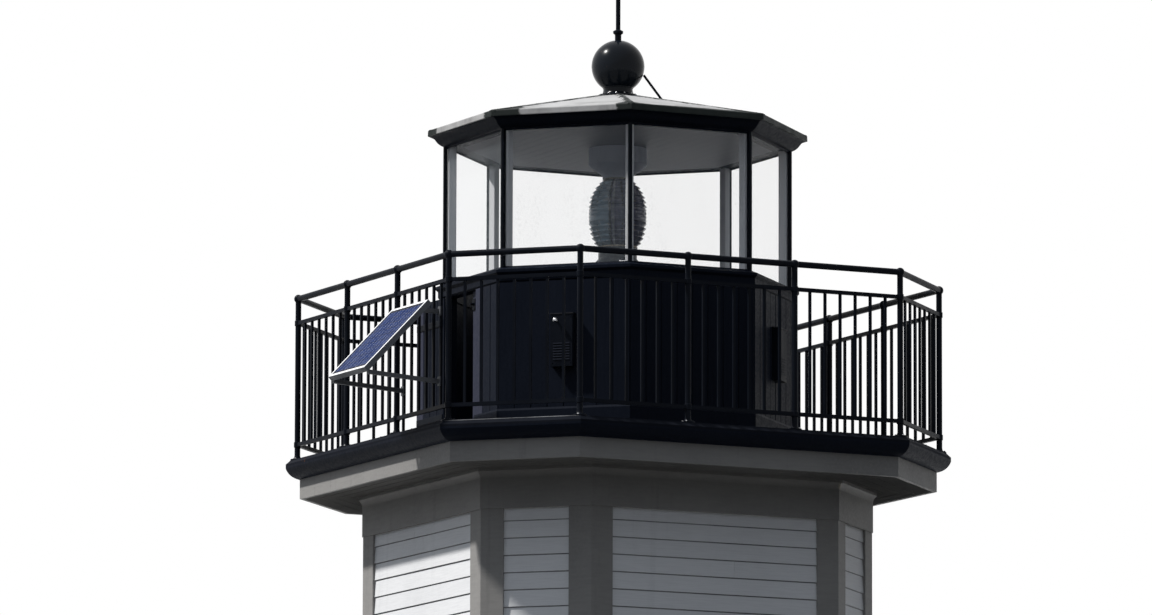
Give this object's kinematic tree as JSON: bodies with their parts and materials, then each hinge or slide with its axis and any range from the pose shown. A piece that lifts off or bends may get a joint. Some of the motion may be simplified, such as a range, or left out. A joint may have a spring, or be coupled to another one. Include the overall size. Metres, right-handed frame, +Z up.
{
  "type": "wooden harbour lighthouse",
  "caption": "Eight-sided clapboard lighthouse tower with a railed gallery, a glazed lantern, a stepped prism lens and a ball ventilator.",
  "frame": {"origin": "on the ground, on the tower's upright axis, in the middle of the foundation's base", "axes": "+Z up along the tower, -Y out of the entrance, -X towards the solar panel"},
  "size_m": [4.1286, 3.664, 11.337],
  "materials": {
    "granite": "rough split granite",
    "floor_boards": "bare worn boards",
    "white_paint": "white painted clapboards",
    "grey_trim": "warm grey painted trim",
    "dark_door": "dark painted door",
    "window_glass": "clear",
    "black_paint": "black painted boards",
    "deck_black": "matt black sheet metal",
    "black_iron": "glossy black paint",
    "worn_paint": "worn grey paint",
    "white_wood": "white paint",
    "lantern_glass": "clear",
    "roof_metal": "pale silver paint, weathered",
    "lens_glass": "pressed prisms",
    "brass": "dull",
    "pedestal_paint": "grey paint",
    "white_plastic": "matt",
    "grey_metal": "galvanized",
    "aluminium_frame": "anodized",
    "solar_cells": "glossy dark blue"
  },
  "bodies": {
    "root": {"foundation": "granite", "door_step": "granite", "floors": "floor_boards", "wall_front": "white_paint", "wall_right": "white_paint", "wall_back": "white_paint", "wall_left": "white_paint", "corner_walls": "white_paint", "corner_boards": "grey_trim", "water_table": "grey_trim", "frieze_board": "grey_trim", "entrance_frame": "grey_trim", "entrance_door": "dark_door", "window_frames": "grey_trim", "window_glass": "window_glass", "gallery_soffit": "grey_trim", "gallery_fascia": "grey_trim", "gallery_cornice": "black_paint", "gallery_deck": "deck_black", "rail_posts": "black_iron", "top_rail": "black_iron", "balustrade_front": "black_iron", "balustrade_right": "black_iron", "balustrade_back": "black_iron", "balustrade_left": "black_iron", "balustrade_corners": "black_iron", "parapet_main_walls": "black_paint", "parapet_corner_walls": "black_paint", "parapet_left_wall": "black_paint", "gallery_threshold": "black_paint", "gallery_door": "black_paint", "gallery_door_stop": "worn_paint", "gallery_door_hinges": "black_iron", "parapet_vents": "black_iron", "vent_knob": "grey_metal", "lantern_sill": "black_paint", "glazing_bars": "black_iron", "glazing_posts": "white_wood", "lantern_glass": "lantern_glass", "lantern_head": "black_paint", "lantern_ceiling": "white_wood", "roof_cornice": "black_paint", "roof_covering": "roof_metal", "ball_ventilator": "black_iron", "lightning_rod": "black_iron", "ball_stay": "black_iron", "lens": "lens_glass", "lens_rings": "brass", "lens_pedestal": "pedestal_paint", "light_sensor": "white_plastic", "vent_funnel": "grey_metal", "solar_frame": "aluminium_frame", "solar_cells": "solar_cells", "solar_bracket": "grey_metal"}
  },
  "joints": []
}
